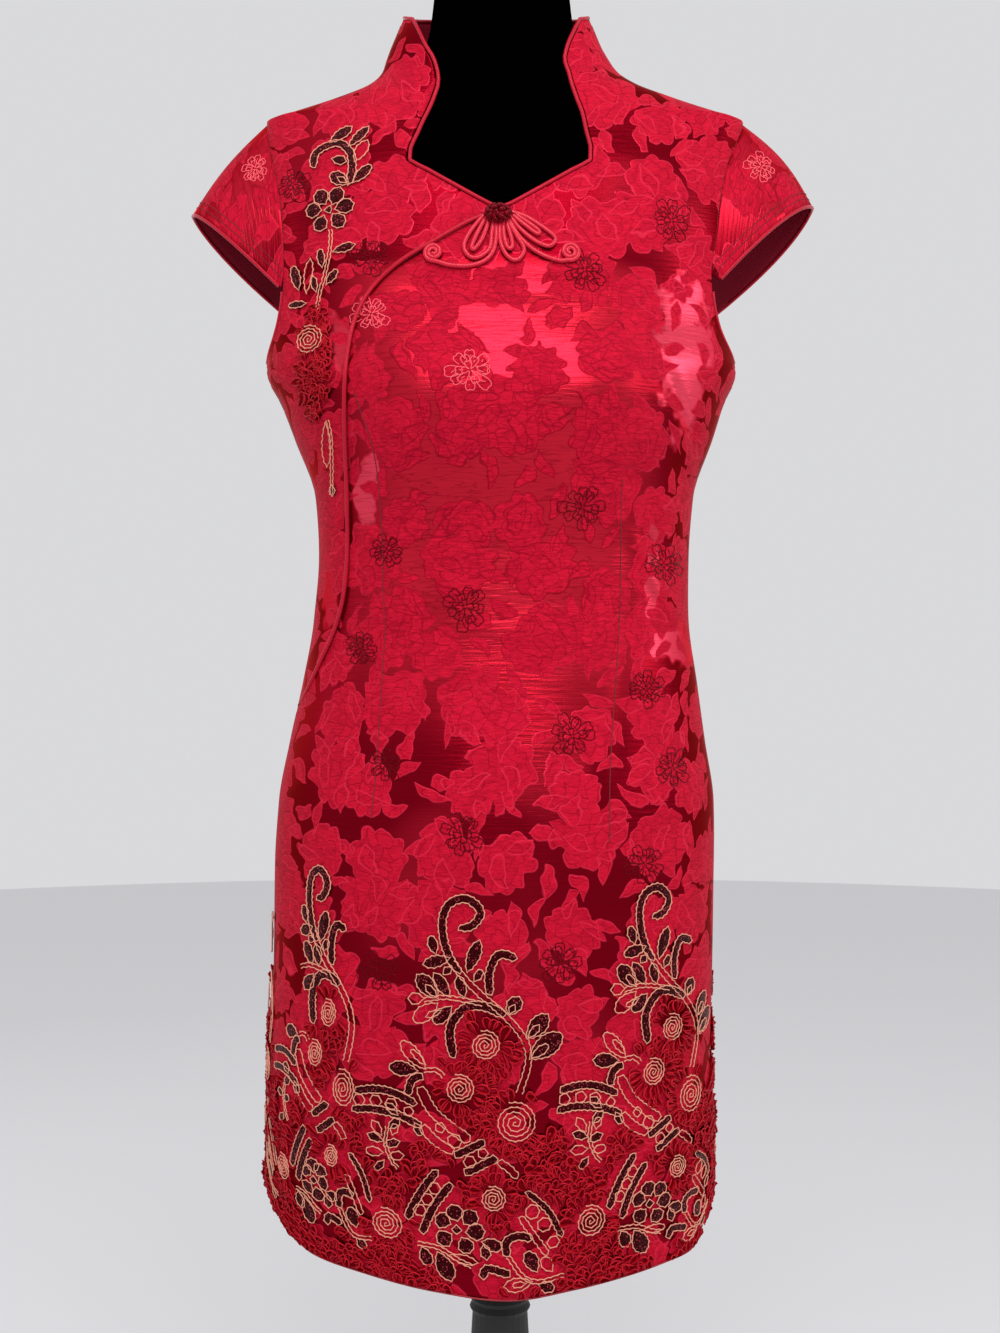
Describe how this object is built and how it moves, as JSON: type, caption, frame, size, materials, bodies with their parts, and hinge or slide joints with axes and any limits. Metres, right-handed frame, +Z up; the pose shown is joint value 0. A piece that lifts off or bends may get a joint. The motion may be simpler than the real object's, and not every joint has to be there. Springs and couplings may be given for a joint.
{
  "type": "cheongsam dress on a dress form",
  "caption": "Knee-length cap-sleeved cheongsam in red brocade with a knotted frog and appliqued hem, fitted over a black dress form on a turned stand.",
  "frame": {"origin": "centre of the stand's base, on the floor", "axes": "+Z up along the post, -Y towards the front of the dress, +X towards the wearer's left arm"},
  "size_m": [0.5056, 0.36, 1.557],
  "materials": {
    "red_brocade": "satin ground with matte woven flowers",
    "red_satin_piping": "satin",
    "garnet_beads": "faceted, glossy",
    "black_velvet": "flocked, matte",
    "black_lacquered_wood": "gloss lacquer",
    "black_coated_steel": "satin powder coat"
  },
  "bodies": {
    "root": {"front": "red_brocade", "side_front": "red_brocade", "back": "red_brocade", "sleeve_left": "red_brocade", "sleeve_right": "red_brocade", "sleeve_binding_left": "red_satin_piping", "sleeve_binding_right": "red_satin_piping", "armhole_binding_left": "red_satin_piping", "armhole_binding_right": "red_satin_piping", "neck_piping": "red_satin_piping", "placket_piping": "red_satin_piping", "frog_loop_far_left": "red_satin_piping", "frog_loop_inner_left": "red_satin_piping", "frog_loop_right": "red_satin_piping", "frog_loop_far_right": "red_satin_piping", "frog_tail_left": "red_satin_piping", "frog_tail_right": "red_satin_piping", "frog_button": "garnet_beads", "form_torso": "black_velvet", "neck_cap": "black_lacquered_wood", "foot_plate": "black_lacquered_wood", "post": "black_lacquered_wood", "pole": "black_coated_steel", "base": "black_coated_steel"}
  },
  "joints": []
}
